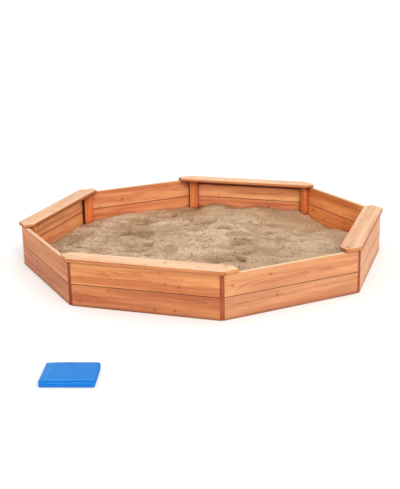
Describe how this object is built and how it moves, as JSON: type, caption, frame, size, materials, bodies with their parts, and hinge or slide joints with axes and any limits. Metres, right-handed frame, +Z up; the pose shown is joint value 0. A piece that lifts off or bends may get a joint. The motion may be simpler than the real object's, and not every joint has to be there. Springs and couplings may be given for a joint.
{
  "type": "sandbox with cover",
  "caption": "Octagonal timber sandbox with two-board walls, corner posts, seat planks on alternate walls, mounded sand and a folded fabric cover lying in front of it.",
  "frame": {"origin": "on the ground at the middle of the octagon, on the liner's underside", "axes": "+Z up; the front wall, which carries a seat plank, faces -Y; +X to its right"},
  "size_m": [2, 2.9138, 0.256],
  "materials": {
    "wall_timber": "stained fir, satin",
    "post_timber": "stained fir, satin",
    "seat_timber": "planed fir, light stain",
    "screw_steel": "zinc plated",
    "liner_fabric": "non-woven",
    "sand": "loose play sand",
    "cover_fabric": "coated woven polyester"
  },
  "bodies": {
    "sandbox": {"lower_board_front": "wall_timber", "upper_board_front": "wall_timber", "lower_board_front_right": "wall_timber", "upper_board_front_right": "wall_timber", "lower_board_right": "wall_timber", "upper_board_right": "wall_timber", "lower_board_back_right": "wall_timber", "upper_board_back_right": "wall_timber", "lower_board_back": "wall_timber", "upper_board_back": "wall_timber", "lower_board_back_left": "wall_timber", "upper_board_back_left": "wall_timber", "lower_board_left": "wall_timber", "upper_board_left": "wall_timber", "lower_board_front_left": "wall_timber", "upper_board_front_left": "wall_timber", "corner_post_1": "post_timber", "corner_post_2": "post_timber", "corner_post_3": "post_timber", "corner_post_4": "post_timber", "corner_post_5": "post_timber", "corner_post_6": "post_timber", "corner_post_7": "post_timber", "corner_post_8": "post_timber", "seat_plank_front": "seat_timber", "seat_plank_right": "seat_timber", "seat_plank_back": "seat_timber", "seat_plank_left": "seat_timber", "wall_screws": "screw_steel", "seat_screws": "screw_steel", "ground_liner": "liner_fabric", "sand_fill": "sand"},
    "cover": {"folded_cover": "cover_fabric"}
  },
  "joints": [
    {"name": "cover_lift", "type": "slide", "parent": "sandbox", "child": "cover", "axis": [0, 0, 1], "range_m": [0, 0.5]}
  ]
}
